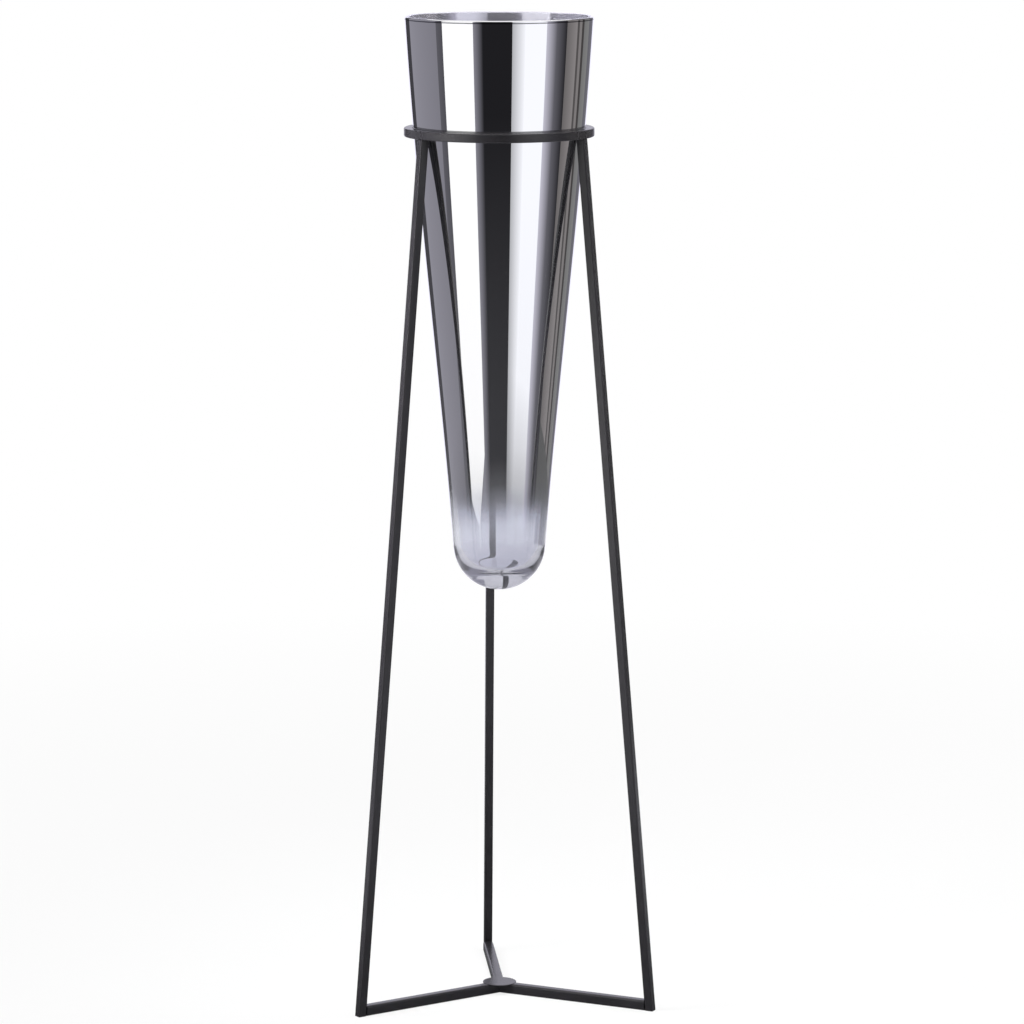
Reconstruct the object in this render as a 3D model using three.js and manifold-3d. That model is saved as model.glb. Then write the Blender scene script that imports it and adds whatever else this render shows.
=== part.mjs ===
// Floor vase: a tall glass cone that hangs by its taper in a ring on three slim legs of square tube.
// Millimetres, +Z up. The origin is on the floor, straight below the axis of the glass. The rear leg is at +Y.

import * as THREE from "three";
import { mergeVertices } from "three/addons/utils/BufferGeometryUtils.js";
import Module from "manifold-3d";

const manifold = await Module();
manifold.setup();

// Sizes of the glass
const GLASS_HEIGHT = 660;
const MOUTH_RADIUS = 107.6;
const BOTTOM_RADIUS = 53;
const BOTTOM_LEAN = THREE.MathUtils.degToRad(4.6); // lean of the wall where the round bottom ends
const MOUTH_LEAN = THREE.MathUtils.degToRad(3.5); // lean of the wall just under the rim
const RIM_WALL = 3.6;
const HEEL_WALL = 8; // wall at the brim of the bowl that ends the hollow
const FLOOR_WALL = 25; // solid glass on the axis, under the hollow
const FLOOR_FLAT_RADIUS = 22; // flat middle of the hollow's floor
const BOWL_DEPTH = 30; // the floor of the hollow rounds up into the wall over this height
const THINNING_LENGTH = 300; // the wall thins from heel to rim thickness over this height
const RING_BELOW_RIM = 126; // from the rim down to the top of the ring

// Sizes of the stand
const RING_TOP = 1014;
const TUBE = 10;
const TUBE_WALL = 1;
const TUBE_CORNER = 1.5;
const SHARPEST_BORE_CORNER = 0.1;
const FOOT_CIRCLE_RADIUS = 193.4; // centre line of a leg, carried down to the floor
const LEG_COUNT = 3;
const HUB_DISC_RADIUS = 19.5;
const HUB_DISC_THICKNESS = 1.4;
const HUB_DISC_EDGE = 0.4;

// Sizes of the plugs in the legs' lower ends
const PLUG_FLANGE = 1;
const PLUG_DEPTH = 12;
const PLUG_BARE_STEM = 1; // between the flange and the lowest rib, at least
const PLUG_RIB = 1.2;
const PLUG_RIB_PITCH = 3.5;
const PLUG_RIB_STANDS_OUT = 0.5;

// Clearances
const SEAT_CLEARANCE = 0.3; // between the glass and the ring's rounded inner edge
const WELD_GAP = 0.3; // left between two tubes for the weld
const PLUG_CLEARANCE = 0.3; // between a plug's ribs and the tube's inner faces

// Fineness of the round faces
const ROUND_STEPS = 72;
const WALL_STEPS = 12;
const BOTTOM_STEPS = 8;
const RIM_STEPS = 6;
const CORNER_STEPS = 1;

const glassMaterial = new THREE.MeshStandardMaterial({ color: 0xb4b6c0, roughness: 0.06, metalness: 0.75 });
const coatMaterial = new THREE.MeshStandardMaterial({ color: 0x2d2b2e, roughness: 0.5, metalness: 0.25 });
const plugMaterial = new THREE.MeshStandardMaterial({ color: 0x18181a, roughness: 0.65, metalness: 0 });

function toSolid(geometry) {
  const bare = geometry.clone();
  bare.deleteAttribute("normal");
  bare.deleteAttribute("uv");
  const merged = mergeVertices(bare);
  const vertProperties = new Float32Array(merged.attributes.position.array);
  const triVerts = new Uint32Array(merged.index.array);
  return new manifold.Manifold(new manifold.Mesh({ numProp: 3, vertProperties, triVerts }));
}

function toGeometry(solid) {
  const { vertProperties, triVerts } = solid.getMesh();
  const geometry = new THREE.BufferGeometry();
  geometry.setAttribute("position", new THREE.BufferAttribute(vertProperties, 3));
  geometry.setIndex(new THREE.BufferAttribute(triVerts, 1));
  geometry.computeVertexNormals();
  return geometry;
}

// Turns a profile of (radius, height) points about the Z axis.
function revolve(profile) {
  return new THREE.LatheGeometry(profile, ROUND_STEPS).rotateX(Math.PI / 2);
}

function roundedSquare(side, corner, outline = new THREE.Shape()) {
  const half = side / 2;
  const flat = half - corner;
  outline.moveTo(half, -flat);
  outline.lineTo(half, flat);
  outline.absarc(flat, flat, corner, 0, Math.PI / 2);
  outline.lineTo(-flat, half);
  outline.absarc(-flat, flat, corner, Math.PI / 2, Math.PI);
  outline.lineTo(-half, -flat);
  outline.absarc(-flat, -flat, corner, Math.PI, 1.5 * Math.PI);
  outline.lineTo(flat, -half);
  outline.absarc(flat, -flat, corner, 1.5 * Math.PI, 2 * Math.PI);
  return outline;
}

const BORE = TUBE - 2 * TUBE_WALL;
const BORE_CORNER = Math.max(TUBE_CORNER - TUBE_WALL, SHARPEST_BORE_CORNER);

function tubeSection() {
  const section = roundedSquare(TUBE, TUBE_CORNER);
  section.holes.push(roundedSquare(BORE, BORE_CORNER, new THREE.Path()));
  return section;
}

function extrude(section, length) {
  return new THREE.ExtrudeGeometry(section, { depth: length, bevelEnabled: false, curveSegments: CORNER_STEPS });
}

// The glass is one profile: round bottom, tapering outer wall, melted rim, inner wall, bowl of the hollow.

// The round bottom, from its lowest point up to where the wall takes over.
function roundBottom() {
  const points = [];
  for (let i = 0; i <= BOTTOM_STEPS; i += 1) {
    const angle = THREE.MathUtils.lerp(-Math.PI / 2, -BOTTOM_LEAN, i / BOTTOM_STEPS);
    points.push(new THREE.Vector2(BOTTOM_RADIUS * Math.cos(angle), BOTTOM_RADIUS * (1 + Math.sin(angle))));
  }
  points[0].x = 0;
  return points;
}

const outerBottom = roundBottom();
const outerHeel = outerBottom.at(-1);
const WALL_TOP = GLASS_HEIGHT - RIM_WALL / 2;
const BRIM = FLOOR_WALL + BOWL_DEPTH;

// The outer wall leaves the round bottom and reaches the mouth with the two leans given for its ends.
function outerRadius(height) {
  const span = WALL_TOP - outerHeel.y;
  const t = (height - outerHeel.y) / span;
  const fromHeel = outerHeel.x * (1 + 2 * t) * (1 - t) ** 2 + Math.tan(BOTTOM_LEAN) * span * t * (1 - t) ** 2;
  const fromMouth = MOUTH_RADIUS * t ** 2 * (3 - 2 * t) + Math.tan(MOUTH_LEAN) * span * t ** 2 * (t - 1);
  return fromHeel + fromMouth;
}

// The inner wall follows the outer one, from the thicker heel to the thin wall of the rim.
function innerRadius(height) {
  const thinned = THREE.MathUtils.smoothstep(height, BRIM, BRIM + THINNING_LENGTH);
  return outerRadius(height) - THREE.MathUtils.lerp(HEEL_WALL, RIM_WALL, thinned);
}

// The bowl at the bottom of the hollow: a flat floor, then a stretched quarter circle that ends in the wall's taper.
function bowl() {
  const points = [new THREE.Vector2(0, FLOOR_WALL)];
  for (let i = 0; i <= BOTTOM_STEPS; i += 1) {
    const angle = (Math.PI / 2) * (i / BOTTOM_STEPS);
    const height = BRIM - BOWL_DEPTH * Math.cos(angle);
    const radius = THREE.MathUtils.lerp(FLOOR_FLAT_RADIUS, innerRadius(height), Math.sin(angle));
    points.push(new THREE.Vector2(radius, height));
  }
  return points;
}

function wall(start, radiusAt) {
  const points = [];
  for (let i = 1; i <= WALL_STEPS; i += 1) {
    const height = THREE.MathUtils.lerp(start, WALL_TOP, i / WALL_STEPS);
    points.push(new THREE.Vector2(radiusAt(height), height));
  }
  return points;
}

function meltedRim() {
  const lip = RIM_WALL / 2;
  const points = [];
  for (let i = 1; i < RIM_STEPS; i += 1) {
    const angle = (Math.PI * i) / RIM_STEPS;
    points.push(new THREE.Vector2(MOUTH_RADIUS - lip + lip * Math.cos(angle), WALL_TOP + lip * Math.sin(angle)));
  }
  return points;
}

function glassVase() {
  const outside = [...outerBottom, ...wall(outerHeel.y, outerRadius)];
  const inside = [...bowl(), ...wall(BRIM, innerRadius)];
  const mesh = new THREE.Mesh(revolve([...outside, ...meltedRim(), ...inside.reverse()]), glassMaterial);
  mesh.name = "glass_vase";
  mesh.position.z = RING_TOP + RING_BELOW_RIM - GLASS_HEIGHT;
  return mesh;
}

// The ring is sized by the glass: the wall touches the rounded top inner edge of its tube.
const SEAT_HEIGHT = GLASS_HEIGHT - RING_BELOW_RIM - TUBE_CORNER;
const RING_INNER_RADIUS = outerRadius(SEAT_HEIGHT) + SEAT_CLEARANCE;
const RING_MID_RADIUS = RING_INNER_RADIUS + TUBE / 2;
const RING_BOTTOM = RING_TOP - TUBE;
const REAR_AZIMUTH = Math.PI / 2;

// Once round the ring's centre line, from one side of the seam above the rear leg to the other.
class RingPath extends THREE.Curve {
  getPoint(t, target = new THREE.Vector3()) {
    const halfSeam = Math.asin(WELD_GAP / 2 / RING_MID_RADIUS);
    const turn = THREE.MathUtils.lerp(halfSeam, 2 * Math.PI - halfSeam, t);
    return target.set(
      RING_MID_RADIUS * Math.cos(REAR_AZIMUTH + turn),
      RING_MID_RADIUS * Math.sin(REAR_AZIMUTH + turn),
      0,
    );
  }
}

function supportRing() {
  const rolledTube = new THREE.ExtrudeGeometry(tubeSection(), {
    extrudePath: new RingPath(),
    steps: ROUND_STEPS,
    bevelEnabled: false,
    curveSegments: CORNER_STEPS,
  });
  const mesh = new THREE.Mesh(rolledTube, coatMaterial);
  mesh.name = "support_ring";
  mesh.position.z = RING_TOP - TUBE / 2;
  return mesh;
}

// The legs lean in from the foot circle to the middle of the ring's tube. Here X is the way out from the axis.
const LEG_LEAN = Math.atan((FOOT_CIRCLE_RADIUS - RING_MID_RADIUS) / RING_BOTTOM);

// A level cut through a leaning square tube is longer the way it leans, and shifts inwards with height.
function leanIn(geometry) {
  const lean = new THREE.Matrix4();
  lean.elements[0] = 1 / Math.cos(LEG_LEAN);
  lean.elements[8] = -Math.tan(LEG_LEAN);
  return geometry.applyMatrix4(lean);
}

function leg(side) {
  const cutLevel = extrude(tubeSection(), RING_BOTTOM - WELD_GAP - PLUG_FLANGE).translate(0, 0, PLUG_FLANGE);
  const mesh = new THREE.Mesh(leanIn(cutLevel), coatMaterial);
  mesh.name = `leg_${side}`;
  mesh.position.x = FOOT_CIRCLE_RADIUS;
  return mesh;
}

// A tube-end plug: a flange as wide as the tube, and a ribbed stem that goes up inside it.
function footPlug(side) {
  const ribSide = BORE - 2 * PLUG_CLEARANCE;
  const stemSide = ribSide - 2 * PLUG_RIB_STANDS_OUT;
  const stem = extrude(roundedSquare(stemSide, BORE_CORNER), PLUG_DEPTH);
  let solid = toSolid(extrude(roundedSquare(TUBE, TUBE_CORNER), PLUG_FLANGE)).add(toSolid(stem));
  for (let top = PLUG_DEPTH; top - PLUG_RIB > PLUG_FLANGE + PLUG_BARE_STEM; top -= PLUG_RIB_PITCH) {
    const rib = extrude(roundedSquare(ribSide, BORE_CORNER), PLUG_RIB).translate(0, 0, top - PLUG_RIB);
    solid = solid.add(toSolid(rib));
  }
  const mesh = new THREE.Mesh(leanIn(toGeometry(solid)), plugMaterial);
  mesh.name = `foot_plug_${side}`;
  mesh.position.x = FOOT_CIRCLE_RADIUS;
  return mesh;
}

// A floor bar: pointed at the axis so that the bars meet, and cut to the lean of its leg.
function baseBar(side) {
  const stock = extrude(tubeSection(), FOOT_CIRCLE_RADIUS).rotateY(Math.PI / 2);
  const share = Math.PI / LEG_COUNT;
  const legFace = FOOT_CIRCLE_RADIUS * Math.cos(LEG_LEAN) - TUBE / 2;
  const middleHeight = PLUG_FLANGE + TUBE / 2;
  const cut = toSolid(stock.translate(0, 0, middleHeight))
    .trimByPlane([Math.sin(share), Math.cos(share), 0], WELD_GAP / 2)
    .trimByPlane([Math.sin(share), -Math.cos(share), 0], WELD_GAP / 2)
    .trimByPlane([-Math.cos(LEG_LEAN), 0, -Math.sin(LEG_LEAN)], WELD_GAP - legFace);
  const mesh = new THREE.Mesh(toGeometry(cut), coatMaterial);
  mesh.name = `base_bar_${side}`;
  return mesh;
}

function hubDisc() {
  const profile = [
    new THREE.Vector2(0, 0),
    new THREE.Vector2(HUB_DISC_RADIUS - HUB_DISC_EDGE, 0),
    new THREE.Vector2(HUB_DISC_RADIUS, HUB_DISC_EDGE),
    new THREE.Vector2(HUB_DISC_RADIUS, HUB_DISC_THICKNESS - HUB_DISC_EDGE),
    new THREE.Vector2(HUB_DISC_RADIUS - HUB_DISC_EDGE, HUB_DISC_THICKNESS),
    new THREE.Vector2(0, HUB_DISC_THICKNESS),
  ];
  const mesh = new THREE.Mesh(revolve(profile), coatMaterial);
  mesh.name = "hub_disc";
  mesh.position.z = PLUG_FLANGE + TUBE;
  return mesh;
}

const vase = new THREE.Group();
vase.add(glassVase(), supportRing(), hubDisc());

["rear", "left", "right"].forEach((side, turn) => {
  const spoke = new THREE.Group();
  spoke.rotation.z = REAR_AZIMUTH + (turn * 2 * Math.PI) / LEG_COUNT;
  spoke.add(leg(side), footPlug(side), baseBar(side));
  vase.add(spoke);
});

export default vase;
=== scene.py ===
# %% [markdown]
# # A mirrored glass floor vase on a black tube stand
#
# The vase is a tall glass cone that hangs by its taper in a ring. The ring stands on three slim legs of
# square tube, and three bars on the floor tie the legs together. Solids of the right size exist already, so
# this lesson is about looks: each piece below takes the place of one solid, in the same frame, in metres,
# and only the weld beads are new.

# %% Load the solids
import math

import bmesh
import bpy
from mathutils import Matrix, Vector


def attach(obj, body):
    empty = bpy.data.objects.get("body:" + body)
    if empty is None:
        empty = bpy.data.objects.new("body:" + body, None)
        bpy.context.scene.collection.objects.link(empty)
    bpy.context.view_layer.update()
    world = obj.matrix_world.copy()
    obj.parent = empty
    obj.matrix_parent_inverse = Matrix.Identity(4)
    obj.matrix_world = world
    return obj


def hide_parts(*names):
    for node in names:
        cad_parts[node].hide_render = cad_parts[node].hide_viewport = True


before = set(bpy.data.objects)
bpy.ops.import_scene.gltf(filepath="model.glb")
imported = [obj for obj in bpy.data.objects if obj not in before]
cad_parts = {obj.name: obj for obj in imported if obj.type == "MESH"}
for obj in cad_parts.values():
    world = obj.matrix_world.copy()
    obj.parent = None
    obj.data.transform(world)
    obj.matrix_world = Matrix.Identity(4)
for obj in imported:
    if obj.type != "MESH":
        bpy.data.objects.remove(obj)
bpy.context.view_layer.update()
scene = bpy.context.scene
scene.view_settings.view_transform = "Standard"

# %% [markdown]
# ## The camera
#
# The picture to match was taken from far off with a long lens, a little above the vase's rim. The stand is
# turned slightly, so its rear leg isn't quite hidden behind the middle. A near camera with a short lens
# could frame the vase too, but it would splay the legs, so distance and lens are set together.

# %% Camera
CAMERA_DISTANCE = 5.249
CAMERA_HEIGHT = 1.407
CAMERA_LENS = 161.84
CAMERA_REACH = 100
AIM_ASIDE = 0.0146
AIM_HEIGHT = 0.5699
STAND_TURN = math.radians(4.21)
to_camera_side = Matrix.Rotation(-STAND_TURN, 4, "Z")
aim = to_camera_side @ Vector((AIM_ASIDE, 0, AIM_HEIGHT))

camera = bpy.data.objects.new("photo_camera", bpy.data.cameras.new("photo_camera"))
scene.collection.objects.link(camera)
camera.data.lens = CAMERA_LENS
camera.data.clip_end = CAMERA_REACH
camera.location = to_camera_side @ Vector((0, -CAMERA_DISTANCE, CAMERA_HEIGHT))
camera.rotation_euler = (aim - camera.location).to_track_quat("-Z", "Y").to_euler()
scene.camera = camera
print("camera looks down", round(math.degrees(math.pi / 2 - camera.rotation_euler.x), 2), "degrees")

# %% [markdown]
# ## A white room
#
# The background is plain white. If the world simply shone white it would also flood the vase with light, so
# the world asks what kind of ray is looking: eyes, mirrors and glass see white, while matt surfaces get a
# softer fill.

# %% World
FILL_LIGHT = 0.16


def seen_directly(tree):
    """A value of 1 for rays that show the background: from the camera, off gloss, or through glass."""
    rays = tree.nodes.new("ShaderNodeLightPath")
    direct = tree.nodes.new("ShaderNodeMath")
    direct.operation = "MAXIMUM"
    through = tree.nodes.new("ShaderNodeMath")
    through.operation = "MAXIMUM"
    tree.links.new(rays.outputs["Is Camera Ray"], direct.inputs[0])
    tree.links.new(rays.outputs["Is Glossy Ray"], direct.inputs[1])
    tree.links.new(direct.outputs[0], through.inputs[0])
    tree.links.new(rays.outputs["Is Transmission Ray"], through.inputs[1])
    return through.outputs[0]


room = bpy.data.worlds.new("white_room")
scene.world = room
room.use_nodes = True
room_glow = room.node_tree.nodes["Background"]
room_glow.inputs["Color"].default_value = (1, 1, 1, 1)
room_level = room.node_tree.nodes.new("ShaderNodeMapRange")
room_level.inputs["To Min"].default_value = FILL_LIGHT
room_level.inputs["To Max"].default_value = 1
room.node_tree.links.new(seen_directly(room.node_tree), room_level.inputs["Value"])
room.node_tree.links.new(room_level.outputs["Result"], room_glow.inputs["Strength"])
print("fill light:", FILL_LIGHT)

# %% [markdown]
# ## The floor
#
# A pale floor catches a faint shadow. A matt floor only returns part of the light and would turn grey in
# the picture, so a share of its brightness is its own glow, for the same rays as above. The share grows
# with the distance from the stand, so the floor runs into the white room without an edge.

# %% Floor material
FLOOR_PALE = (0.7, 0.7, 0.7, 1)
FLOOR_ROUGHNESS = 0.9
FLOOR_GLOW = 0.80
SHADOW_REACH = (0.8, 2.5)


def distance_from_middle(tree):
    """How far a point lies from the middle of the frame."""
    place = tree.nodes.new("ShaderNodeTexCoord")
    reach = tree.nodes.new("ShaderNodeVectorMath")
    reach.operation = "LENGTH"
    tree.links.new(place.outputs["Object"], reach.inputs[0])
    return reach.outputs["Value"]


pale_floor = bpy.data.materials.new("pale_floor")
pale_floor.use_nodes = True
floor_tree = pale_floor.node_tree
floor_matt = floor_tree.nodes["Principled BSDF"]
floor_matt.inputs["Base Color"].default_value = FLOOR_PALE
floor_matt.inputs["Roughness"].default_value = FLOOR_ROUGHNESS
floor_matt.inputs["Specular IOR Level"].default_value = 0
floor_glow = floor_tree.nodes.new("ShaderNodeEmission")
floor_fade = floor_tree.nodes.new("ShaderNodeMapRange")
floor_fade.inputs["From Min"].default_value = SHADOW_REACH[0]
floor_fade.inputs["From Max"].default_value = SHADOW_REACH[1]
floor_fade.inputs["To Min"].default_value = FLOOR_GLOW
floor_share = floor_tree.nodes.new("ShaderNodeMath")
floor_share.operation = "MULTIPLY"
floor_mix = floor_tree.nodes.new("ShaderNodeMixShader")
floor_tree.links.new(distance_from_middle(floor_tree), floor_fade.inputs["Value"])
floor_tree.links.new(seen_directly(floor_tree), floor_share.inputs[0])
floor_tree.links.new(floor_fade.outputs["Result"], floor_share.inputs[1])
floor_tree.links.new(floor_share.outputs[0], floor_mix.inputs["Fac"])
floor_tree.links.new(floor_matt.outputs["BSDF"], floor_mix.inputs[1])
floor_tree.links.new(floor_glow.outputs["Emission"], floor_mix.inputs[2])
floor_tree.links.new(floor_mix.outputs["Shader"], floor_tree.nodes["Material Output"].inputs["Surface"])
print("floor nodes:", len(floor_tree.nodes))

# %% Floor
FLOOR_RADIUS = 30
CIRCLE_SEGMENTS = 96


def stage_object(bm, name, material):
    """Puts a mesh into the scene with its material."""
    mesh = bpy.data.meshes.new(name)
    bm.to_mesh(mesh)
    bm.free()
    mesh.materials.append(material)
    thing = bpy.data.objects.new(name, mesh)
    scene.collection.objects.link(thing)
    return thing


bm = bmesh.new()
bmesh.ops.create_circle(bm, cap_ends=True, radius=FLOOR_RADIUS, segments=CIRCLE_SEGMENTS)
stage_object(bm, "studio_floor", pale_floor)
print("floor radius:", FLOOR_RADIUS)

# %% [markdown]
# ## The glow of the studio cards
#
# A mirror has no look of its own: it shows the room. The picture's bright and dark stripes are tall studio
# cards around the vase. A card shines by itself, at a level that is kept in its mesh, and near the floor
# all cards fade into one pale haze, the way walls do above a bright floor. Each card could have a material
# of its own, but with one for all the haze is the same all round.

# %% Tones that follow a height or a distance
def greys(stops):
    """Pairs of place and level as pairs of place and colour."""
    return [(at, (level, level, level)) for at, level in stops]


def tone_ramp(tree, value, stops):
    """Colours that follow a height or a distance, from pairs of place and colour."""
    first, last = stops[0][0], stops[-1][0]
    scaled = tree.nodes.new("ShaderNodeMapRange")
    scaled.inputs["From Min"].default_value = first
    scaled.inputs["From Max"].default_value = last
    tree.links.new(value, scaled.inputs["Value"])
    ramp = tree.nodes.new("ShaderNodeValToRGB")
    for _ in stops[2:]:
        ramp.color_ramp.elements.new(0.5)
    for element, (at, colour) in zip(ramp.color_ramp.elements, stops):
        element.position = (at - first) / (last - first)
        element.color = (*colour, 1)
    tree.links.new(scaled.outputs["Result"], ramp.inputs["Fac"])
    return ramp.outputs["Color"]


def height_of_point(tree):
    """A point's height in its own piece's space."""
    place = tree.nodes.new("ShaderNodeTexCoord")
    parts = tree.nodes.new("ShaderNodeSeparateXYZ")
    tree.links.new(place.outputs["Object"], parts.inputs["Vector"])
    return parts.outputs["Z"]


print("a level of 0.5 as a colour:", greys([(0, 0.5)])[0][1])

# %% Card glow
SHEET_GREY = (0.80, 0.80, 0.87)
HAZE = [
    (0.00, 1), (0.08, 1), (0.14, 0.4), (0.18, 0.1),
    (0.21, 0.04), (0.35, 0.03), (0.50, 0.018), (0.75, 0),
]


def glow_material(name):
    """A material that only shines, with the socket that takes its colour."""
    material = bpy.data.materials.new(name)
    material.use_nodes = True
    tree = material.node_tree
    light = tree.nodes.new("ShaderNodeEmission")
    tree.links.new(light.outputs["Emission"], tree.nodes["Material Output"].inputs["Surface"])
    return material, light.inputs["Color"]


card_glow, card_colour = glow_material("card_glow")
card_tree = card_glow.node_tree
card_level = card_tree.nodes.new("ShaderNodeAttribute")
card_level.attribute_name = "card_level"
card_mix = card_tree.nodes.new("ShaderNodeMix")
card_mix.data_type = "RGBA"
card_mix.inputs["B"].default_value = (*SHEET_GREY, 1)
card_haze = tone_ramp(card_tree, height_of_point(card_tree), greys(HAZE))
card_tree.links.new(card_haze, card_mix.inputs["Factor"])
card_tree.links.new(card_level.outputs["Color"], card_mix.inputs["A"])
card_tree.links.new(card_mix.outputs["Result"], card_colour)
print("card glow nodes:", len(card_tree.nodes))

# %% [markdown]
# ## The shape of a card
#
# Each card is an upright edge swept part of the way round the vase, between two bearings from the camera.
# The edge has a few knees, so that a card can dim towards its foot, or run down to a point like a blade.
# Flat cards would do as well, but each would have to be placed and turned by trial, while a swept one takes
# its two bearings as they are.

# %% Card shape
CARD_RADIUS = 1.3
CARD_HEIGHT = 2.2
CARD_STEP = math.radians(3)
FOOT = (0.13, 0.33)
BLADE = (0.155, 0.225)
BLADE_POINT = 0.6
KNEES = sorted(FOOT + BLADE)
TURN_SLACK = 0.01
toward_camera = math.radians(-90) - STAND_TURN


def turn_from(start, place):
    """How far round the axis a place lies from a bearing, with a little slack at the bearing itself."""
    return (math.atan2(place.y, place.x) - start + TURN_SLACK) % (2 * math.pi) - TURN_SLACK


def risen(height, between_heights):
    """How far a height lies on the way between two heights, from 0 to 1."""
    low, high = between_heights
    return min(max((height - low) / (high - low), 0), 1)


def card_mesh(bearings, low, high, radius, tip):
    """A curved upright sheet between two bearings in degrees, right being positive, with a tip below."""
    bm = bmesh.new()
    start = toward_camera + math.radians(bearings[0])
    sweep = math.radians(bearings[1] - bearings[0])
    rises = [low, *[knee for knee in KNEES if low < knee < high], high]
    upright = [bm.verts.new((radius * math.cos(start), radius * math.sin(start), rise)) for rise in rises]
    edges = [bm.edges.new(pair) for pair in zip(upright, upright[1:])]
    steps = max(2, round(sweep / CARD_STEP))
    bmesh.ops.spin(bm, geom=upright + edges, angle=sweep, steps=steps, axis=(0, 0, 1), cent=(0, 0, 0))
    for vert in bm.verts:
        aside = sweep * BLADE_POINT - turn_from(start, vert.co)
        narrowing = (1 - tip) * (1 - risen(vert.co.z, BLADE))
        vert.co.rotate(Matrix.Rotation(aside * narrowing, 3, "Z"))
    return bm


print("cards stand", CARD_RADIUS, "m from the axis, with knees at", KNEES)

# %% [markdown]
# ## Who sees a card
#
# A white card as big as these would light the whole stand, and a dark one would shade it. So each card is
# shown to one kind of ray alone: the mirror's cards to reflections, and a few grey shades to rays that come
# through clear glass. Neither casts light or shadow.

# %% Card paint and visibility
LAYER_GAP = 0.01
IN_FRONT = CARD_RADIUS - LAYER_GAP
BEHIND = CARD_RADIUS + LAYER_GAP
LOW = 0.001
WHOLE = (LOW, CARD_HEIGHT)
PLAIN = (1, 1, 1)
COOL = (0.97, 0.95, 1.1)
WARM = (1.04, 0.97, 0.97)
MIST = (0.975, 0.985, 1.03)


def only_in(card, mirror):
    """Hides a card from everything but mirrors, or from everything but clear glass."""
    card.visible_camera = False
    card.visible_diffuse = False
    card.visible_shadow = False
    card.visible_glossy = mirror
    card.visible_transmission = not mirror
    return card


def paint_card(bm, levels, tint, foot):
    """Gives a card its brightness, from its first bearing to its last, and a share of it at its foot."""
    colour = bm.verts.layers.float_color.new("card_level")
    start = math.atan2(bm.verts[:][0].co.y, bm.verts[:][0].co.x)
    turns = {vert: turn_from(start, vert.co) for vert in bm.verts}
    whole = max(turns.values())
    for vert, turn in turns.items():
        level = levels[0] + (levels[1] - levels[0]) * turn / whole
        share = foot + (1 - foot) * risen(vert.co.z, FOOT)
        vert[colour] = (level * share * tint[0], level * share * tint[1], level * share * tint[2], 1)


def studio_card(name, bearings, levels, tint=PLAIN, foot=1, tip=1, span=WHOLE, radius=CARD_RADIUS):
    """A card that only mirrors show."""
    bm = card_mesh(bearings, *span, radius, tip)
    paint_card(bm, levels, tint, foot)
    return only_in(stage_object(bm, name, card_glow), mirror=True)


print("card heights:", WHOLE)

# %% [markdown]
# ## The cards, from left to right
#
# On the left stand a grey wall, a dark post and the white card that ends in a blade. The camera's side is
# dark. On the right a white card falls off softly to a dark gap, and warm grey panels follow, which end
# above the floor in front of a darker backing. The back is bright again. Neighbours share a bearing, so no
# gap shows.

# %% Cards on the left
LEFT_LOW = (LOW, 0.77)
BLADE_BACKING = (LOW, 0.34)

cards = [
    studio_card("card_left_edge", (-158, -138.5), (0.05, 0.06), COOL, foot=0.6),
    studio_card("card_left_wall", (-138.5, -81), (0.30, 0.235), COOL, foot=0.65),
    studio_card("card_left_low", (-144, -135), (0.055, 0.055), COOL, span=LEFT_LOW, radius=IN_FRONT),
    studio_card("card_left_post", (-81, -71.5), (0.12, 0.09), COOL),
    studio_card("card_left_white", (-71.5, -31), (1.15, 1.15), PLAIN, tip=0.06),
    studio_card("card_left_backing", (-71.5, -31), (0.15, 0.25), COOL, span=BLADE_BACKING, radius=BEHIND),
    studio_card("card_left_fall", (-31, -19.5), (0.27, 0.02), COOL, foot=0.8),
    studio_card("card_camera_side", (-19.5, 15.5), (0.015, 0.015), COOL),
]
print("cards on the left:", len(cards))

# %% Cards on the right and at the back
RAISED = (0.33, CARD_HEIGHT)
PANEL_BACKING = (LOW, 0.42)

cards += [
    studio_card("card_right_rise", (15.5, 31), (0.5, 1.05), MIST, foot=0.5),
    studio_card("card_right_white", (31, 58.5), (1.1, 1.1), MIST, foot=0.44),
    studio_card("card_right_fall", (58.5, 73), (0.62, 0.14), COOL, foot=0.85),
    studio_card("card_right_dark", (73, 89), (0.13, 0.02), COOL),
    studio_card("card_right_wall", (89, 108.5), (0.15, 0.26), WARM, span=RAISED),
    studio_card("card_right_post", (108.5, 113), (0.09, 0.09), WARM, span=RAISED),
    studio_card("card_right_panel", (113, 119), (0.22, 0.22), WARM, span=RAISED),
    studio_card("card_right_gap", (119, 124.5), (0.06, 0.06), WARM, span=RAISED),
    studio_card("card_right_far", (124.5, 140), (0.19, 0.23), PLAIN, span=RAISED),
    studio_card("card_right_end", (140, 158), (0.14, 0.19), COOL, span=RAISED),
    studio_card("card_right_backing", (89, 158), (0.10, 0.115), span=PANEL_BACKING, radius=BEHIND),
    studio_card("card_back", (158, 202), (1, 1), COOL),
]
print("cards so far:", len(cards))

# %% Shades for the clear glass
SHADE_LOW = 0.65
LOW_SHADE_SPAN = (0.2, 0.7)


def glass_shade(name, bearings, level, low, high=CARD_HEIGHT):
    """A grey card that only clear glass shows."""
    bm = card_mesh(bearings, low, high, CARD_RADIUS, 1)
    paint_card(bm, (level, level), COOL, 1)
    return only_in(stage_object(bm, name, card_glow), mirror=False)


cards += [
    glass_shade("shade_left", (-150, -70), 0.36, SHADE_LOW),
    glass_shade("shade_right", (70, 150), 0.36, SHADE_LOW),
    glass_shade("shade_right_low", (128, 163), 0.42, *LOW_SHADE_SPAN),
]
print("cards and shades:", len(cards))
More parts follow.
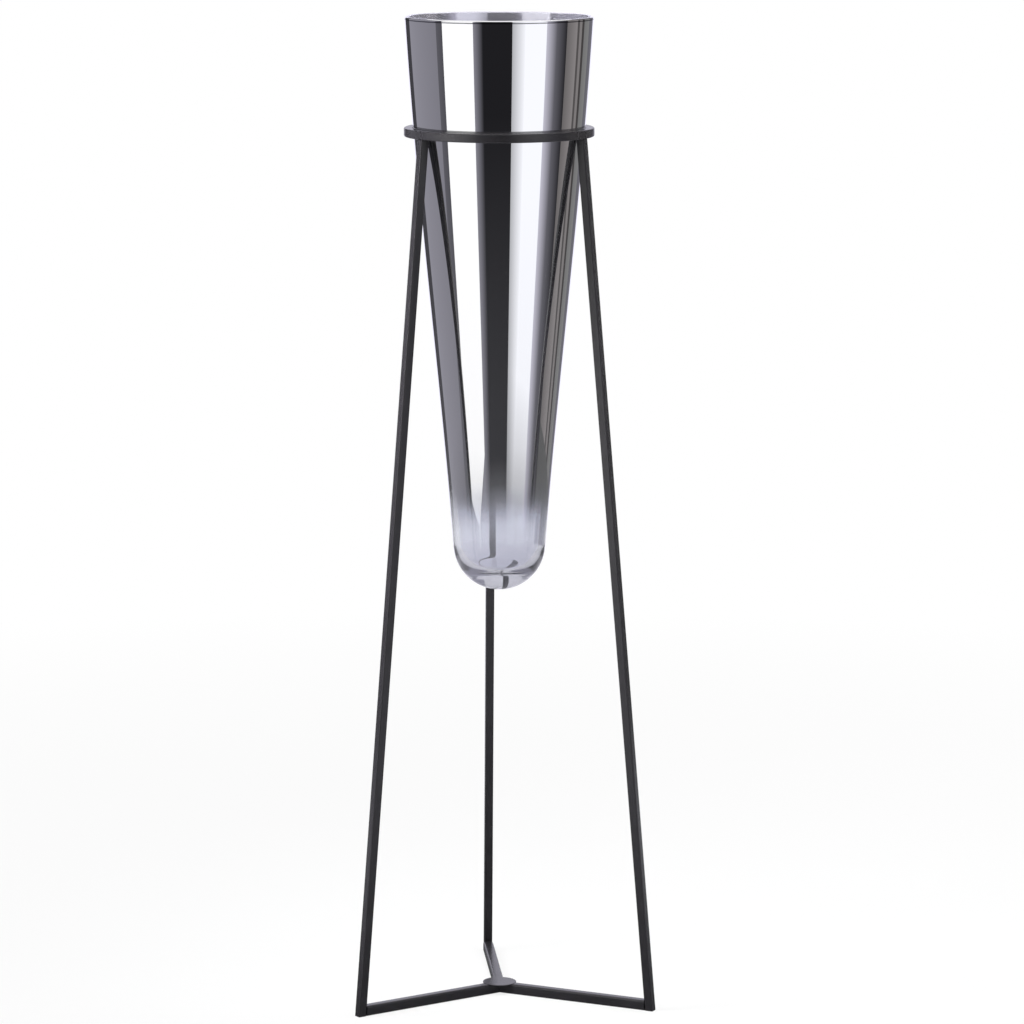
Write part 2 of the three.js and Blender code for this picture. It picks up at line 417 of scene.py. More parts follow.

# %% [markdown]
# ## The floor that the mirror shows
#
# The glossy sides of the low bars show the floor close by, and in the picture these sides are dark. So a
# sheet lies on the floor for reflections alone, with painted shade in its glow: grey under the stand and
# paler towards the cards. A dark mat with an edge would do for the bars, but its edge would show in the
# glass from above.

# %% Floor sheet
# Painted shade: the sheet's glow is darkest under the stand and paler towards the cards.
PAINTED_SHADE_DARK = (0.17, 0.17, 0.185)
PAINTED_SHADE_MIDDLE = (0.28, 0.28, 0.305)
PAINTED_SHADE_PALE = (0.58, 0.58, 0.63)
PAINTED_SHADE_TONES = [(0.2, PAINTED_SHADE_DARK), (0.55, PAINTED_SHADE_MIDDLE), (1.0, PAINTED_SHADE_PALE), (1.25, SHEET_GREY)]

painted_shade_glow, painted_shade_colour = glow_material("painted_shade_glow")
painted_shade_tree = painted_shade_glow.node_tree
painted_shade_tree.links.new(tone_ramp(painted_shade_tree, distance_from_middle(painted_shade_tree), PAINTED_SHADE_TONES), painted_shade_colour)

# A sheet whose glow is painted shade, seen only in reflections.
bm = bmesh.new()
bmesh.ops.create_circle(bm, cap_ends=True, radius=CARD_RADIUS, segments=CIRCLE_SEGMENTS)
bmesh.ops.translate(bm, verts=bm.verts[:], vec=(0, 0, LOW / 2))
only_in(stage_object(bm, "painted_shade_sheet", painted_shade_glow), mirror=True)
print("sheet nodes:", len(painted_shade_tree.nodes))

# %% [markdown]
# ## Three soft lamps
#
# A wide lamp overhead lights the level faces and the floor. A small lamp with a narrower beam on each side,
# at the height of the ring, lifts the tubes' sides there and leaves the floor bars darker. Bare bulbs would
# draw hard shadows, which the picture doesn't have. The mirror has the cards to show, so lamps stay out of
# reflections.

# %% Lamps
LAMP_AIM = Vector((0, 0, 0.7))
WIDE = 180
NARROW = 80


def soft_lamp(name, size, watts, place, spread=WIDE):
    """A round lamp that looks at the vase, placed as seen from the camera, with a spread in degrees."""
    data = bpy.data.lights.new(name, "AREA")
    data.shape = "DISK"
    data.size = size
    data.energy = watts
    data.spread = math.radians(spread)
    lamp = bpy.data.objects.new(name, data)
    scene.collection.objects.link(lamp)
    lamp.location = to_camera_side @ Vector(place)
    lamp.rotation_euler = (LAMP_AIM - lamp.location).to_track_quat("-Z", "Y").to_euler()
    lamp.visible_glossy = False
    lamp.visible_transmission = False
    lamp.visible_camera = False
    print(name, watts, "W")


soft_lamp("lamp_overhead", size=5, watts=430, place=(0.3, -0.4, 6))
soft_lamp("lamp_left", size=0.5, watts=6.5, place=(-1.08, -0.3, 1.05), spread=NARROW)
soft_lamp("lamp_right", size=0.5, watts=2, place=(1.0, 0.1, 1.05), spread=NARROW)

# %% [markdown]
# ## Powder coat
#
# The stand is sprayed with black powder and baked. Close up the coat has a fine grain and a slow ripple
# like orange peel, and its black and its gloss drift a little from place to place. All of it comes from
# noise in the piece's own space, so it stays put when the piece moves. A flat black would look like a hole
# in the picture.

# %% Noise and what follows it
NOISE_SPAN = (0.3, 0.7)


def noise(tree, scale, detail=2):
    """Noise in the piece's own space."""
    place = tree.nodes.new("ShaderNodeTexCoord")
    cloud = tree.nodes.new("ShaderNodeTexNoise")
    cloud.inputs["Scale"].default_value = scale
    cloud.inputs["Detail"].default_value = detail
    tree.links.new(place.outputs["Object"], cloud.inputs["Vector"])
    return cloud.outputs["Fac"]


def roughened(tree, height, depth, strength, under=None):
    """A bump of the given depth in metres, laid over another one."""
    bump = tree.nodes.new("ShaderNodeBump")
    bump.inputs["Strength"].default_value = strength
    bump.inputs["Distance"].default_value = depth
    tree.links.new(height, bump.inputs["Height"])
    if under is not None:
        tree.links.new(under, bump.inputs["Normal"])
    return bump.outputs["Normal"]


def between(tree, value, low, high):
    """Spreads a noise value over a range of numbers."""
    spread = tree.nodes.new("ShaderNodeMapRange")
    spread.inputs["From Min"].default_value = NOISE_SPAN[0]
    spread.inputs["From Max"].default_value = NOISE_SPAN[1]
    spread.inputs["To Min"].default_value = low
    spread.inputs["To Max"].default_value = high
    tree.links.new(value, spread.inputs["Value"])
    return spread.outputs["Result"]


def blended(tree, value, first, second):
    """Mixes two colours by a noise value."""
    mix = tree.nodes.new("ShaderNodeMix")
    mix.data_type = "RGBA"
    mix.inputs["A"].default_value = (*first, 1)
    mix.inputs["B"].default_value = (*second, 1)
    tree.links.new(between(tree, value, 0, 1), mix.inputs["Factor"])
    return mix.outputs["Result"]


print("noise is used from", NOISE_SPAN[0], "to", NOISE_SPAN[1])

# %% Powder coat material
DRIFT_SCALE = 40
PEEL_SCALE = 420
PEEL_DEPTH = 0.0003
PEEL_STRENGTH = 0.1
GRAIN_SCALE = 2200
GRAIN_DEPTH = 0.0001
GRAIN_STRENGTH = 0.25
COAT_DEEP = (0.0195, 0.0185, 0.021)
COAT_PALE = (0.0235, 0.0223, 0.0254)
COAT_ROUGHNESS = (0.24, 0.27)
COAT_GLOSS = 0.42

powder_coat = bpy.data.materials.new("powder_coat")
powder_coat.use_nodes = True
coat_tree = powder_coat.node_tree
coat_skin = coat_tree.nodes["Principled BSDF"]
coat_drift = noise(coat_tree, DRIFT_SCALE)
coat_peel = roughened(coat_tree, noise(coat_tree, PEEL_SCALE), PEEL_DEPTH, PEEL_STRENGTH)
coat_dust = noise(coat_tree, GRAIN_SCALE, detail=3)
coat_grain = roughened(coat_tree, coat_dust, GRAIN_DEPTH, GRAIN_STRENGTH, coat_peel)
coat_tree.links.new(blended(coat_tree, coat_drift, COAT_DEEP, COAT_PALE), coat_skin.inputs["Base Color"])
coat_tree.links.new(between(coat_tree, coat_drift, *COAT_ROUGHNESS), coat_skin.inputs["Roughness"])
coat_skin.inputs["Specular IOR Level"].default_value = COAT_GLOSS
coat_tree.links.new(coat_grain, coat_skin.inputs["Normal"])
print("powder coat nodes:", len(coat_tree.nodes))

# %% [markdown]
# ## Handing over a piece
#
# Every finished mesh goes the same way: it gets its finish and smooth shading, and it rides on the body
# that carries the solid it replaces. Tubes and the disc also have their normals weighted by face size, so
# that flat sides stay flat beside their rounded corners.

# %% Placing pieces
SHARP_ANGLE = math.radians(50)


def place_piece(bm, name, body, finishes, stands_for=()):
    """Makes an object of a finished mesh and hands it to the body that carries it."""
    mesh = bpy.data.meshes.new(name)
    bm.to_mesh(mesh)
    bm.free()
    for finish in finishes:
        mesh.materials.append(finish)
    mesh.shade_smooth()
    mesh.set_sharp_from_angle(angle=SHARP_ANGLE)
    piece = bpy.data.objects.new(name, mesh)
    scene.collection.objects.link(piece)
    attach(piece, body)
    if stands_for:
        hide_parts(*stands_for)
    print(name, "faces:", len(mesh.polygons))
    return piece


def thicken(piece, wall):
    """Gives a skin its wall, inwards."""
    shell = piece.modifiers.new("wall", "SOLIDIFY")
    shell.thickness = wall
    shell.offset = -1


def keep_flats(piece):
    """Weights the normals by face size."""
    piece.modifiers.new("flat_sides", "WEIGHTED_NORMAL").keep_sharp = True


print("edges stay sharp above", round(math.degrees(SHARP_ANGLE)), "degrees")

# %% [markdown]
# ## Square tube
#
# All of the stand is cut from one slim square tube with rounded corners. Its outline starts as one square
# face whose corners are bevelled, and the face is then dropped so that only the outline is left to sweep.
# Drawing the corner arcs by hand would give the same outline with more code.

# %% Tube outline
TUBE = 0.010
TUBE_WALL = 0.001
TUBE_CORNER = 0.0015
CORNER_SEGMENTS = 5


def tube_outline(bm, filled=False):
    """A square outline with rounded corners, flat on the floor and centred."""
    square = bmesh.ops.create_grid(bm, x_segments=1, y_segments=1, size=TUBE / 2)
    rounding = {"offset": TUBE_CORNER, "segments": CORNER_SEGMENTS, "profile": 0.5}
    bmesh.ops.bevel(bm, geom=square["verts"], affect="VERTICES", material=-1, **rounding)
    if not filled:
        bmesh.ops.delete(bm, geom=bm.faces[:], context="FACES_ONLY")


def verts_of(geometry):
    """The vertices among what an operator gives back."""
    return [part for part in geometry if isinstance(part, bmesh.types.BMVert)]


def faces_of(geometry):
    """The faces among what an operator gives back."""
    return [part for part in geometry if isinstance(part, bmesh.types.BMFace)]


bm = bmesh.new()
tube_outline(bm)
print("outline points:", len(bm.verts), "width:", round(max(vert.co.x for vert in bm.verts) * 2, 4))
bm.free()

# %% [markdown]
# ## The ring
#
# On the bench the ring is a length of tube rolled to a circle. Here the outline is stood upright at the
# ring's radius and spun once round the axis. A torus would have a round section, and the ring's flat faces
# would be lost.

# %% Ring
RING_INNER_RADIUS = 0.09868
RING_TOP = 1.014
RING_STEPS = 180
MERGE_DISTANCE = 1e-6
QUARTER_TURN = math.pi / 2
ring_mid_radius = RING_INNER_RADIUS + TUBE / 2


def turn_round_axis(bm, steps):
    """Spins an outline once round the axis, closes the seam and points the faces outwards."""
    sweep = {"angle": 2 * math.pi, "steps": steps, "axis": (0, 0, 1), "cent": (0, 0, 0), "use_merge": True}
    bmesh.ops.spin(bm, geom=bm.verts[:] + bm.edges[:], **sweep)
    bmesh.ops.remove_doubles(bm, verts=bm.verts[:], dist=MERGE_DISTANCE)
    bmesh.ops.recalc_face_normals(bm, faces=bm.faces[:])


bm = bmesh.new()
tube_outline(bm)
bmesh.ops.rotate(bm, verts=bm.verts[:], cent=(0, 0, 0), matrix=Matrix.Rotation(QUARTER_TURN, 3, "X"))
bmesh.ops.translate(bm, verts=bm.verts[:], vec=(ring_mid_radius, 0, RING_TOP - TUBE / 2))
turn_round_axis(bm, RING_STEPS)
ring = place_piece(bm, "ring_tube", "stand", [powder_coat], ["support_ring"])
keep_flats(ring)

# %% [markdown]
# ## The legs
#
# Three tubes lean in from the floor to the ring, cut level at both ends. A leaning tube with level ends is
# an upright one that is sheared, so the outline is pulled straight up and one matrix leans it. Turning an
# upright tube instead would leave its ends at a slant, to be cut afterwards.

# %% The lean of the legs
FOOT_CIRCLE_RADIUS = 0.1934
FLANGE = 0.001
SPOKES = {"rear": math.radians(90), "left": math.radians(210), "right": math.radians(330)}
ring_bottom = RING_TOP - TUBE
lean_tangent = (FOOT_CIRCLE_RADIUS - ring_mid_radius) / ring_bottom
leg_lean = math.atan(lean_tangent)

lean_in = Matrix.Identity(4)
lean_in[0][0] = 1 / math.cos(leg_lean)
lean_in[0][2] = -lean_tangent
lean_in[0][3] = FOOT_CIRCLE_RADIUS


def spoke_turn(side):
    """Turns a piece made along +X to its own leg."""
    return Matrix.Rotation(SPOKES[side], 4, "Z")


print("lean:", round(math.degrees(leg_lean), 2), "degrees")

# %% Legs
for side in SPOKES:
    bm = bmesh.new()
    tube_outline(bm)
    bmesh.ops.translate(bm, verts=bm.verts[:], vec=(0, 0, FLANGE))
    pulled = bmesh.ops.extrude_edge_only(bm, edges=bm.edges[:])
    bmesh.ops.translate(bm, verts=verts_of(pulled["geom"]), vec=(0, 0, ring_bottom - FLANGE))
    bmesh.ops.transform(bm, matrix=spoke_turn(side) @ lean_in, verts=bm.verts[:])
    bmesh.ops.recalc_face_normals(bm, faces=bm.faces[:])
    leg = place_piece(bm, f"leg_tube_{side}", "stand", [powder_coat], [f"leg_{side}"])
    thicken(leg, TUBE_WALL)
    keep_flats(leg)

# %% [markdown]
# ## The floor bars
#
# Each bar runs from the middle to a leg. Its inner end is pointed by two saw cuts so that three bars meet
# at equal angles, and its outer end is cut to the lean of the leg. Each cut is one bisecting plane, as on
# the bench.

# %% Floor bars
half_share = math.pi / len(SPOKES)
leg_face = FOOT_CIRCLE_RADIUS * math.cos(leg_lean) - TUBE / 2


def saw(bm, point, away):
    """Cuts the tube at a point and drops what lies on the side of `away`."""
    everything = bm.verts[:] + bm.edges[:] + bm.faces[:]
    bmesh.ops.bisect_plane(bm, geom=everything, plane_co=point, plane_no=away, clear_outer=True)


for side in SPOKES:
    bm = bmesh.new()
    tube_outline(bm)
    bmesh.ops.rotate(bm, verts=bm.verts[:], cent=(0, 0, 0), matrix=Matrix.Rotation(QUARTER_TURN, 3, "Y"))
    bmesh.ops.translate(bm, verts=bm.verts[:], vec=(0, 0, FLANGE + TUBE / 2))
    pulled = bmesh.ops.extrude_edge_only(bm, edges=bm.edges[:])
    bmesh.ops.translate(bm, verts=verts_of(pulled["geom"]), vec=(FOOT_CIRCLE_RADIUS, 0, 0))
    saw(bm, (0, 0, 0), (-math.sin(half_share), math.cos(half_share), 0))
    saw(bm, (0, 0, 0), (-math.sin(half_share), -math.cos(half_share), 0))
    saw(bm, (leg_face / math.cos(leg_lean), 0, 0), (math.cos(leg_lean), 0, math.sin(leg_lean)))
    bmesh.ops.transform(bm, matrix=spoke_turn(side), verts=bm.verts[:])
    bmesh.ops.recalc_face_normals(bm, faces=bm.faces[:])
    bar = place_piece(bm, f"floor_bar_{side}", "stand", [powder_coat], [f"base_bar_{side}"])
    thicken(bar, TUBE_WALL)
    keep_flats(bar)

# %% [markdown]
# ## The hub disc
#
# A thin round plate covers the point where the bars meet. It is a filled circle, pulled up to its
# thickness, with its edges bevelled the way a punched plate is tumbled before coating. A plain cylinder
# would keep hard edges, which catch no light.

# %% Hub disc
DISC_RADIUS = 0.0195
DISC_THICKNESS = 0.0014
DISC_EDGE = 0.0004
EDGE_SEGMENTS = 3
bar_top = FLANGE + TUBE


def round_edges(bm, edges, width):
    """Rounds edges over a small width."""
    rounding = {"offset": width, "segments": EDGE_SEGMENTS, "profile": 0.5}
    bmesh.ops.bevel(bm, geom=edges, affect="EDGES", material=-1, **rounding)


bm = bmesh.new()
bmesh.ops.create_circle(bm, cap_ends=True, radius=DISC_RADIUS, segments=CIRCLE_SEGMENTS)
bmesh.ops.translate(bm, verts=bm.verts[:], vec=(0, 0, bar_top))
rims = bm.edges[:]
raised = bmesh.ops.extrude_face_region(bm, geom=bm.faces[:])
bmesh.ops.translate(bm, verts=verts_of(raised["geom"]), vec=(0, 0, DISC_THICKNESS))
rims += [edge for edge in bm.edges if edge not in rims and edge.verts[0].co.z == edge.verts[1].co.z]
round_edges(bm, rims, DISC_EDGE)
bmesh.ops.recalc_face_normals(bm, faces=bm.faces[:])
disc = place_piece(bm, "hub_plate", "stand", [powder_coat], ["hub_disc"])
keep_flats(disc)

# %% [markdown]
# ## Foot plugs
#
# A plastic plug closes each leg. Only its thin flange shows, but the ribbed stem inside is what holds it,
# so it is made as well: the flange's top face is brought in to the stem and pulled up in steps, wide for a
# rib and narrow between. Loose rings round a plain stem would look the same, but they wouldn't be one
# piece.

# %% Plug plastic
PLASTIC_SCALE = 900
PLASTIC_DEEP = (0.008, 0.008, 0.0085)
PLASTIC_PALE = (0.014, 0.014, 0.0145)
PLASTIC_ROUGHNESS = (0.55, 0.7)
PLASTIC_DEPTH = 0.0001
PLASTIC_STRENGTH = 0.3

plug_plastic = bpy.data.materials.new("plug_plastic")
plug_plastic.use_nodes = True
plug_tree = plug_plastic.node_tree
plug_skin = plug_tree.nodes["Principled BSDF"]
plug_cloud = noise(plug_tree, PLASTIC_SCALE, detail=3)
plug_black = blended(plug_tree, plug_cloud, PLASTIC_DEEP, PLASTIC_PALE)
plug_grain = roughened(plug_tree, plug_cloud, PLASTIC_DEPTH, PLASTIC_STRENGTH)
plug_tree.links.new(plug_black, plug_skin.inputs["Base Color"])
plug_tree.links.new(between(plug_tree, plug_cloud, *PLASTIC_ROUGHNESS), plug_skin.inputs["Roughness"])
plug_tree.links.new(plug_grain, plug_skin.inputs["Normal"])
print("plug plastic nodes:", len(plug_tree.nodes))

# %% Foot plugs
STEM_WIDTH = 0.0064
RIB_WIDTH = 0.0074
FLANGE_ROUNDING = 0.0003
RIB_RISE = 0.0012
RIB_GAP = 0.0023
RIBS = 3


def pull_up(bm, face, rise, width):
    """Pulls a level face up and brings it to the given width."""
    pulled = bmesh.ops.extrude_face_region(bm, geom=[face])
    moved = verts_of(pulled["geom"])
    bmesh.ops.translate(bm, verts=moved, vec=(0, 0, rise))
    now = max(vert.co.x for vert in moved) * 2
    bmesh.ops.scale(bm, verts=moved, vec=(width / now, width / now, 1))
    return faces_of(pulled["geom"])[0]


for side in SPOKES:
    bm = bmesh.new()
    tube_outline(bm, filled=True)
    sole = bm.edges[:]
    top = pull_up(bm, bm.faces[:][0], FLANGE, TUBE)
    top = pull_up(bm, top, 0, STEM_WIDTH)
    for rib in range(RIBS):
        top = pull_up(bm, top, RIB_GAP, STEM_WIDTH)
        top = pull_up(bm, top, 0, RIB_WIDTH)
        top = pull_up(bm, top, RIB_RISE, RIB_WIDTH)
        if rib + 1 < RIBS:
            top = pull_up(bm, top, 0, STEM_WIDTH)
    round_edges(bm, sole, FLANGE_ROUNDING)
    bmesh.ops.transform(bm, matrix=spoke_turn(side) @ lean_in, verts=bm.verts[:])
    bmesh.ops.recalc_face_normals(bm, faces=bm.faces[:])
    place_piece(bm, f"foot_cap_{side}", "stand", [plug_plastic], [f"foot_plug_{side}"])

# %% [markdown]
# ## Welds
#
# The tubes are welded before coating, and small rippled beads fill the inner corners. A bead is a round
# face laid at the corner and pulled along it in short steps, fuller and slimmer in turn. A smooth fillet
# would look moulded.

# %% Weld beads
BEAD_RADIUS = 0.0013
BEAD_SEGMENTS = 12
BEAD_END = 0.6
RIPPLE_STEP = 0.0005
RIPPLE = 0.09
FEWEST_RIPPLES = 4
flat = TUBE / 2 - TUBE_CORNER


def weld_bead(bm, start, end, radius=BEAD_RADIUS):
    """Lays a rippled bead along the corner from start to end."""
    run = end - start
    heading = run.to_track_quat("Z", "Y").to_matrix().to_4x4()
    made = bmesh.ops.create_circle(bm, cap_ends=True, radius=radius * BEAD_END, segments=BEAD_SEGMENTS)
    bmesh.ops.transform(bm, matrix=Matrix.Translation(start) @ heading, verts=made["verts"])
    front = made["verts"][0].link_faces[0]
    steps = max(FEWEST_RIPPLES, round(run.length / RIPPLE_STEP))
    for step in range(1, steps + 1):
        pulled = bmesh.ops.extrude_face_region(bm, geom=[front])
        front = faces_of(pulled["geom"])[0]
        moved = verts_of(pulled["geom"])
        bmesh.ops.translate(bm, verts=moved, vec=run / steps)
        middle = start + run * step / steps
        fullness = BEAD_END if step == steps else 1 + RIPPLE * (-1) ** step
        now = (moved[0].co - middle).length
        grow = (radius * fullness / now,) * 3
        bmesh.ops.scale(bm, verts=moved, vec=grow, space=Matrix.Translation(-middle))


def place_welds(bm, name):
    """Hands over the beads of one kind, rounded once more."""
    bmesh.ops.recalc_face_normals(bm, faces=bm.faces[:])
    beads = place_piece(bm, name, "stand", [powder_coat])
    rounder = beads.modifiers.new("rounder", "SUBSURF")
    rounder.levels = 1
    rounder.render_levels = 1


print("beads run along", round(flat * 2, 4), "m of a tube's side")

# %% Welds under the ring
bm = bmesh.new()
for side in SPOKES:
    turn = spoke_turn(side)
    for across in (-TUBE / 2, TUBE / 2):
        inner = turn @ Vector((ring_mid_radius - flat, across, ring_bottom))
        outer = turn @ Vector((ring_mid_radius + flat, across, ring_bottom))
        weld_bead(bm, inner, outer)
place_welds(bm, "ring_welds")

# %% Welds at the feet and at the hub
HUB_BEAD_RADIUS = DISC_THICKNESS * 0.6
leg_corner = (leg_face - bar_top * math.sin(leg_lean)) / math.cos(leg_lean)


def beads_on_bars(reach, radius):
    """A bead across the top of each bar, at a distance from the axis."""
    bm = bmesh.new()
    for side in SPOKES:
        turn = spoke_turn(side)
        weld_bead(bm, turn @ Vector((reach, -flat, bar_top)), turn @ Vector((reach, flat, bar_top)), radius)
    return bm


place_welds(beads_on_bars(leg_corner, BEAD_RADIUS), "foot_welds")
place_welds(beads_on_bars(DISC_RADIUS, HUB_BEAD_RADIUS), "hub_welds")

# %% [markdown]
# ## The glass
#
# The cone is blown with a heavy round bottom: 25 mm of glass lies under the hollow, and the wall thins from
# 8 mm there to less than 4 mm at the melted rim. The hollow has a flat floor with a rounded corner. The
# shape is one outline, drawn in the order the wall runs: bottom, outer wall, rim, inner wall, floor of the
# hollow. Arcs are spun from a single point, walls are one edge cut fine and bent to the taper, and the
# whole outline is then spun round the axis. Two cones, one cut out of the other, couldn't follow the change
# of the wall.

# %% Glass sizes
GLASS_BOTTOM = 0.480
GLASS_HEIGHT = 0.660
MOUTH_RADIUS = 0.1076
BOTTOM_RADIUS = 0.053
BOTTOM_LEAN = math.radians(4.6)
MOUTH_LEAN = math.radians(3.5)
RIM_WALL = 0.0036
HEEL_WALL = 0.008
FLOOR_WALL = 0.025
FLOOR_FLAT_RADIUS = 0.022
BOWL_DEPTH = 0.030
THINNING_LENGTH = 0.300
wall_top = GLASS_HEIGHT - RIM_WALL / 2
half_way = GLASS_HEIGHT / 2
brim = FLOOR_WALL + BOWL_DEPTH
heel_radius = BOTTOM_RADIUS * math.cos(BOTTOM_LEAN)
heel_height = BOTTOM_RADIUS * (1 - math.sin(BOTTOM_LEAN))


def outer_radius(height):
    """Radius of the outer wall, which leaves the bottom and reaches the mouth with its two leans."""
    span = wall_top - heel_height
    t = (height - heel_height) / span
    from_heel = heel_radius * (1 + 2 * t) * (1 - t) ** 2 + math.tan(BOTTOM_LEAN) * span * t * (1 - t) ** 2
    from_mouth = MOUTH_RADIUS * t**2 * (3 - 2 * t) + math.tan(MOUTH_LEAN) * span * t**2 * (t - 1)
    return from_heel + from_mouth


def inner_radius(height):
    """Radius of the inner wall: the outer one less a wall that thins with height."""
    share = min(max((height - brim) / THINNING_LENGTH, 0), 1)
    thinned = share**2 * (3 - 2 * share)
    return outer_radius(height) - HEEL_WALL - (RIM_WALL - HEEL_WALL) * thinned


print("wall half way up:", round(outer_radius(half_way) - inner_radius(half_way), 4))

# %% Drawing the outline
BOTTOM_CUTS = 18
BOWL_CUTS = 24
WALL_CUTS = 48
RIM_CUTS = 12


def spin_point(bm, vert, centre, angle, steps):
    """Draws an arc from a point of the outline and gives the arc's other end."""
    drawn = bmesh.ops.spin(bm, geom=[vert], cent=centre, axis=(0, 1, 0), angle=angle, steps=steps)
    return verts_of(drawn["geom_last"])[0]


def draw_step(bm, vert, end):
    """Draws one straight edge from a point of the outline."""
    tip = bmesh.ops.extrude_vert_indiv(bm, verts=[vert])["verts"][0]
    tip.co = end
    return tip


def draw_wall(bm, vert, end, radius_at):
    """Draws a wall from a point of the outline and bends it to its taper."""
    drawn = bmesh.ops.extrude_vert_indiv(bm, verts=[vert])
    drawn["verts"][0].co = end
    cut = bmesh.ops.subdivide_edges(bm, edges=drawn["edges"], cuts=WALL_CUTS)
    for part in verts_of(cut["geom_inner"]):
        part.co.x = radius_at(part.co.z)
    return min(bm.verts, key=lambda part: (part.co - Vector(end)).length)


def draw_bowl(bm, vert):
    """Draws the floor of the hollow: a stretched quarter circle with the wall's taper, then the flat."""
    width = vert.co.x - FLOOR_FLAT_RADIUS
    drawn = set(bm.verts)
    spin_point(bm, vert, (FLOOR_FLAT_RADIUS, 0, brim), QUARTER_TURN, BOWL_CUTS)
    arc = [part for part in bm.verts if part not in drawn]
    bmesh.ops.scale(bm, verts=arc, vec=(1, 1, BOWL_DEPTH / width), space=Matrix.Translation((0, 0, -brim)))
    for part in arc:
        share = (part.co.x - FLOOR_FLAT_RADIUS) / width
        part.co.x = FLOOR_FLAT_RADIUS + share * (inner_radius(part.co.z) - FLOOR_FLAT_RADIUS)
    end = min(arc, key=lambda part: part.co.z)
    return draw_step(bm, end, (0, 0, FLOOR_WALL))


print("cuts along the wall:", WALL_CUTS)

# %% Glass outline
LIP_HEIGHT = 0.0006
LIP_LINE = 0.0013
line_high = wall_top - LIP_HEIGHT
line_low = line_high - LIP_LINE

glass = bmesh.new()
point = glass.verts.new((0, 0, 0))
point = spin_point(glass, point, (0, 0, BOTTOM_RADIUS), BOTTOM_LEAN - QUARTER_TURN, BOTTOM_CUTS)
point = draw_wall(glass, point, (outer_radius(line_low), 0, line_low), outer_radius)
for height in (line_high, wall_top):
    point = draw_step(glass, point, (outer_radius(height), 0, height))
point = spin_point(glass, point, (MOUTH_RADIUS - RIM_WALL / 2, 0, wall_top), -math.pi, RIM_CUTS)
point = draw_wall(glass, point, (inner_radius(brim), 0, brim), inner_radius)
point = draw_bowl(glass, point)
print("outline points:", len(glass.verts), "ends at height", round(point.co.z, 4))

# %% Glass body
GLASS_STEPS = 180
OUTSIDE, INSIDE, LINE = 0, 1, 2
LEVEL = 0.9

turn_round_axis(glass, GLASS_STEPS)
bmesh.ops.translate(glass, verts=glass.verts[:], vec=(0, 0, GLASS_BOTTOM))
for face in glass.faces:
    middle = face.calc_center_median()
    height = middle.z - GLASS_BOTTOM
    faces_out = face.normal.x * middle.x + face.normal.y * middle.y
    on_hollow_floor = face.normal.z > LEVEL and height < brim
    face.material_index = INSIDE if faces_out < 0 or on_hollow_floor else OUTSIDE
    if faces_out > 0 and line_low < height < line_high:
        face.material_index = LINE
print("glass faces:", len(glass.faces), "volume in litres:", round(glass.calc_volume() * 1000, 3))

# %% [markdown]
# ## Mirror coat
#
# A thin film of metal lies on the glass. It is dense down to the lowest quarter, then thins to a smoky,
# slightly blue veil and ends, so the heavy bottom is clear, with a touch of milk in it. One shader does
# both: the film's share is its metallic value, and what isn't metal lets light through. Two objects, a
# mirror and a clear glass, could only meet at a hard line. All values run on height in the piece's own
# space, with a little noise so that the end of the film is soft and uneven.

# %% Mirror coat shader
GLASS_IOR = 1.5
GLASS_CLEARNESS = 0.9
WANDER = 0.004
WANDER_SCALE = 28


def wandering_height(tree):
    """Height in the piece's own space, with a slow wander of a few millimetres."""
    shifted = tree.nodes.new("ShaderNodeMath")
    shifted.operation = "ADD"
    tree.links.new(height_of_point(tree), shifted.inputs[0])
    tree.links.new(between(tree, noise(tree, WANDER_SCALE), -WANDER, WANDER), shifted.inputs[1])
    return shifted.outputs[0]


def mirror_coat(name, film_stops, tint_stops, dull_stops, through_stops=None):
    """Glass whose film of metal, smoky tint, dullness and, if given, clearness follow its height."""
    material = bpy.data.materials.new(name)
    material.use_nodes = True
    tree = material.node_tree
    skin = tree.nodes["Principled BSDF"]
    skin.inputs["IOR"].default_value = GLASS_IOR
    skin.inputs["Transmission Weight"].default_value = GLASS_CLEARNESS
    height = wandering_height(tree)
    tree.links.new(tone_ramp(tree, height, greys(film_stops)), skin.inputs["Metallic"])
    tree.links.new(tone_ramp(tree, height, tint_stops), skin.inputs["Base Color"])
    tree.links.new(tone_ramp(tree, height, greys(dull_stops)), skin.inputs["Roughness"])
    if through_stops is not None:
        tree.links.new(tone_ramp(tree, height, greys(through_stops)), skin.inputs["Transmission Weight"])
    print(name, "nodes:", len(tree.nodes))
    return material


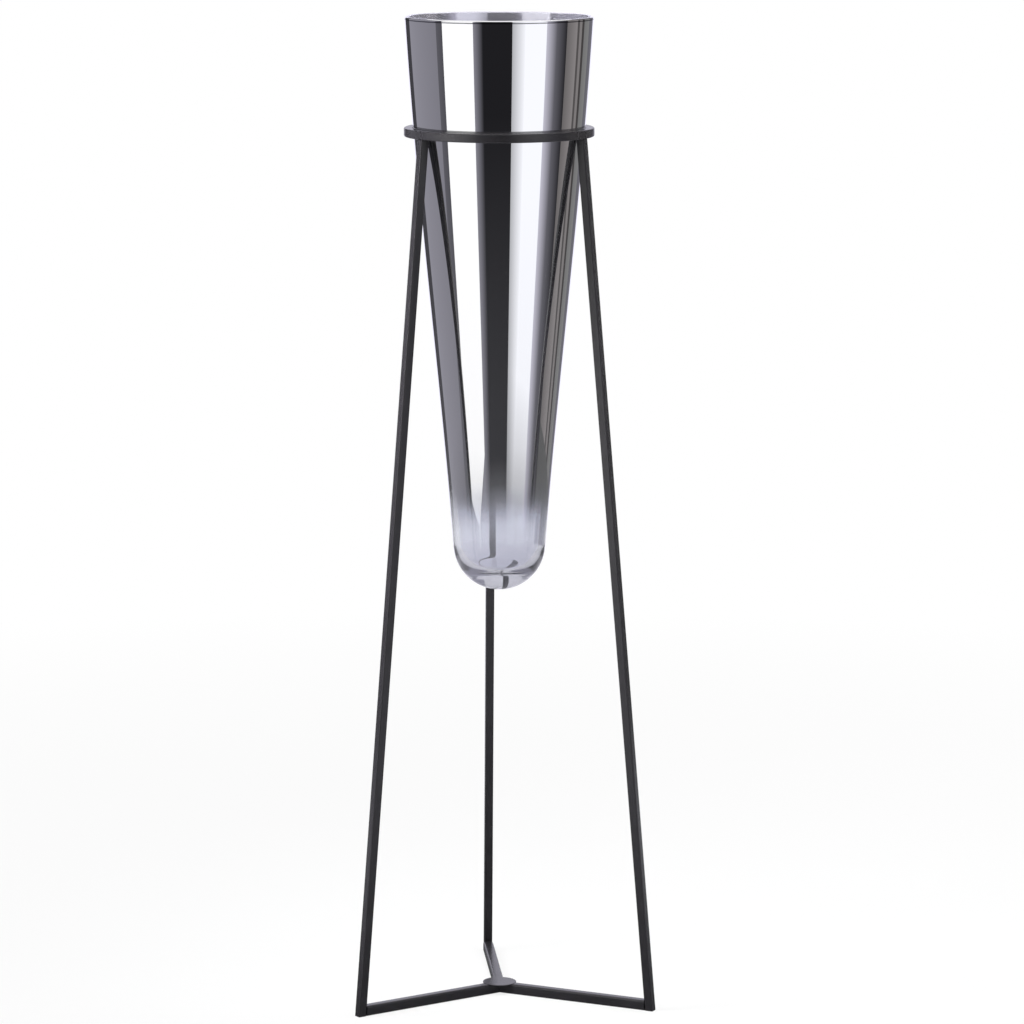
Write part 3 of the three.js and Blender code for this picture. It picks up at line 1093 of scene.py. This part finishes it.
# %% Film on the outside
CLEAR = (0.83, 0.84, 0.91)
VEIL = (0.84, 0.85, 0.92)
HEAVY = (0.62, 0.62, 0.70)
SILVER = (0.89, 0.89, 0.9)
OUTER_FILM = [(0.525, 0), (0.553, 0.15), (0.577, 0.45), (0.605, 0.80), (0.650, 0.95), (0.950, 1)]
OUTER_TINT = [(0.520, HEAVY), (0.545, CLEAR), (0.575, VEIL), (0.610, SILVER)]
OUTER_DULL = [(0.520, 0.005), (0.600, 0.012)]
mirror_outside = mirror_coat("mirror_outside", OUTER_FILM, OUTER_TINT, OUTER_DULL)

# %% [markdown]
# ## The inside and the lip
#
# Inside, the film is backed by a lacquer that is pale at the mouth, and painted shade darkens its tint with
# depth, because little light gets far down. With the tint as pale below as above, the mouth would look like
# a lid. A fine dark line runs just under the lip, which is one row of faces with a darker metal.

# %% Film on the inside
SMOKE = (0.30, 0.30, 0.33)
# Painted shade: the darker tint deep in the hollow, below the pale lacquer at the mouth.
HOLLOW_SHADE = (0.20, 0.20, 0.225)
LACQUER = (0.70, 0.69, 0.78)
INNER_FILM = [(0.540, 0), (0.575, 0.1), (0.610, 0.8), (0.660, 1), (0.700, 0.6)]
INNER_TINT = [
    (0.510, CLEAR), (0.545, VEIL), (0.565, VEIL), (0.590, SMOKE),
    (0.650, SMOKE), (0.950, HOLLOW_SHADE), (1.090, LACQUER),
]
INNER_DULL = [(0.520, 0.02), (0.600, 0.05), (0.700, 0.10)]
INNER_THROUGH = [(0.600, 1), (0.700, 0)]
mirror_inside = mirror_coat("mirror_inside", INNER_FILM, INNER_TINT, INNER_DULL, INNER_THROUGH)

# %% Line under the lip
LINE_SCALE = 120
LINE_DEEP = (0.16, 0.16, 0.18)
LINE_PALE = (0.26, 0.26, 0.29)
LINE_ROUGHNESS = 0.05

lip_line = bpy.data.materials.new("lip_line")
lip_line.use_nodes = True
line_tree = lip_line.node_tree
line_skin = line_tree.nodes["Principled BSDF"]
line_tint = blended(line_tree, noise(line_tree, LINE_SCALE), LINE_DEEP, LINE_PALE)
line_tree.links.new(line_tint, line_skin.inputs["Base Color"])
line_skin.inputs["Metallic"].default_value = 1
line_skin.inputs["Roughness"].default_value = LINE_ROUGHNESS
print("lip line nodes:", len(line_tree.nodes))

# %% Glass in the ring
glass_finishes = [mirror_outside, mirror_inside, lip_line]
place_piece(glass, "vase_glass", "vase", glass_finishes, ["glass_vase"])
